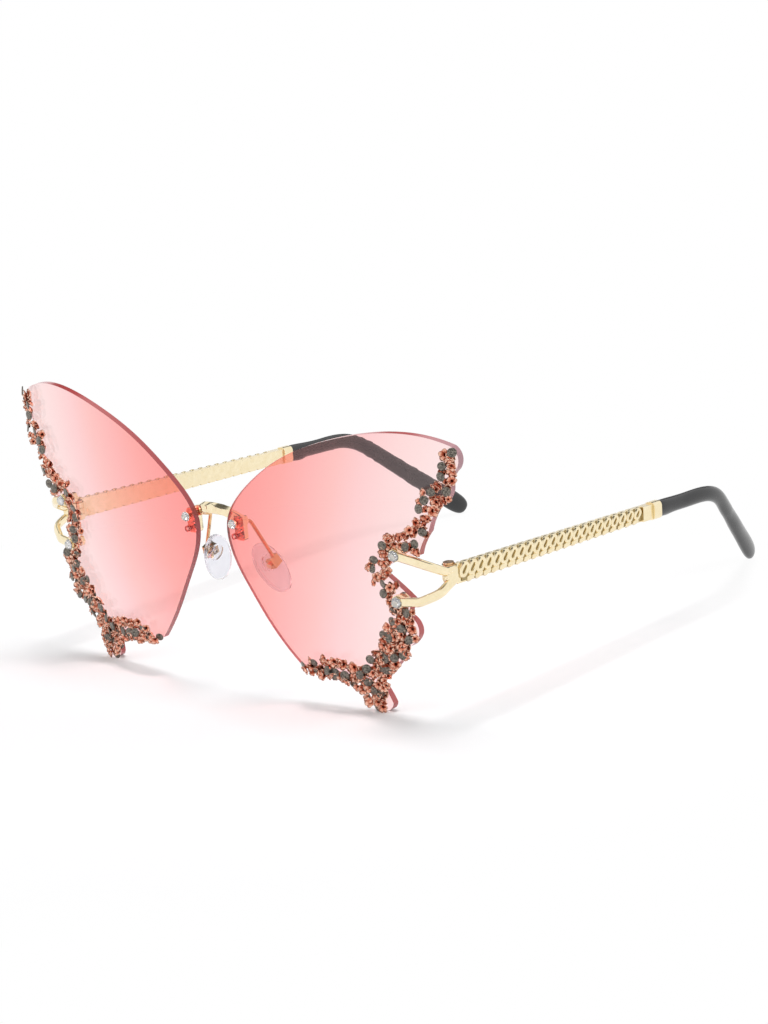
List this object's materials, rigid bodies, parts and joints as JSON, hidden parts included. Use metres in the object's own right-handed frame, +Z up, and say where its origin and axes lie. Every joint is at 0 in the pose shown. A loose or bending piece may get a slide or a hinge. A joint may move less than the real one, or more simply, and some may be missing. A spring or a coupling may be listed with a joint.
{
  "type": "sunglasses",
  "caption": "Rimless butterfly-wing sunglasses with gradient lenses, trimmed wing margins, chain-relief folding temples and rocking nose pads.",
  "frame": {"origin": "on the table under the middle of the open pair", "axes": "+X towards the wearer's left, -Y the way the wearer looks, +Z up"},
  "size_m": [0.1554, 0.1534, 0.0731],
  "materials": {
    "lens_tint": "polished plastic, gradient tint from coral at the nose to nearly clear at the outer side",
    "gold": "polished pale gold plating",
    "copper": "polished copper colour",
    "petal_foil": "copper foil petals",
    "glitter": "pewter glitter in clear resin",
    "stone": "cut clear glass",
    "clear": "clear plastic",
    "silicone": "soft milky clear silicone",
    "steel": "drawn wire",
    "tip_gloss": "glossy charcoal"
  },
  "bodies": {
    "front": {"bridge": "gold", "bridge_screws": "gold", "bridge_stones": "stone", "bridge_pins": "clear", "bridge_washers": "clear", "bridge_nuts": "gold", "pad_screws": "gold", "end_screws": "gold", "end_stones": "stone", "end_washers": "clear", "end_nuts": "gold", "lens_left": "lens_tint", "pad_arm_left": "gold", "pad_box_left": "gold", "end_piece_left": "gold", "hinge_screw_left": "copper", "trim_discs_left": "glitter", "trim_flowers_left": "petal_foil", "lens_right": "lens_tint", "pad_arm_right": "gold", "pad_box_right": "gold", "end_piece_right": "gold", "hinge_screw_right": "copper", "trim_discs_right": "glitter", "trim_flowers_right": "petal_foil"},
    "temple_left": {"temple_left": "gold", "temple_chain_left": "gold", "temple_collar_left": "gold", "temple_core_left": "steel", "temple_tip_left": "tip_gloss"},
    "temple_right": {"temple_right": "gold", "temple_chain_right": "gold", "temple_collar_right": "gold", "temple_core_right": "steel", "temple_tip_right": "tip_gloss"},
    "pad_left": {"nose_pad_left": "silicone", "pad_core_left": "clear"},
    "pad_right": {"nose_pad_right": "silicone", "pad_core_right": "clear"}
  },
  "joints": [
    {"name": "temple_left_fold", "type": "hinge", "parent": "front", "child": "temple_left", "pos_m": [0.0662, -0.05968, 0.0359], "axis": [0, 0, 1], "range_deg": [0, 87]},
    {"name": "temple_right_fold", "type": "hinge", "parent": "front", "child": "temple_right", "pos_m": [-0.0662, -0.05968, 0.0359], "axis": [0, 0, -1], "range_deg": [0, 75]},
    {"name": "pad_left_rock", "type": "hinge", "parent": "front", "child": "pad_left", "pos_m": [0.01156, -0.06539, 0.03351], "axis": [0.1004, -0.9064, -0.4102], "range_deg": [-10, 10]},
    {"name": "pad_right_rock", "type": "hinge", "parent": "front", "child": "pad_right", "pos_m": [-0.01156, -0.06539, 0.03351], "axis": [0.1004, 0.9064, 0.4102], "range_deg": [-10, 10]}
  ]
}
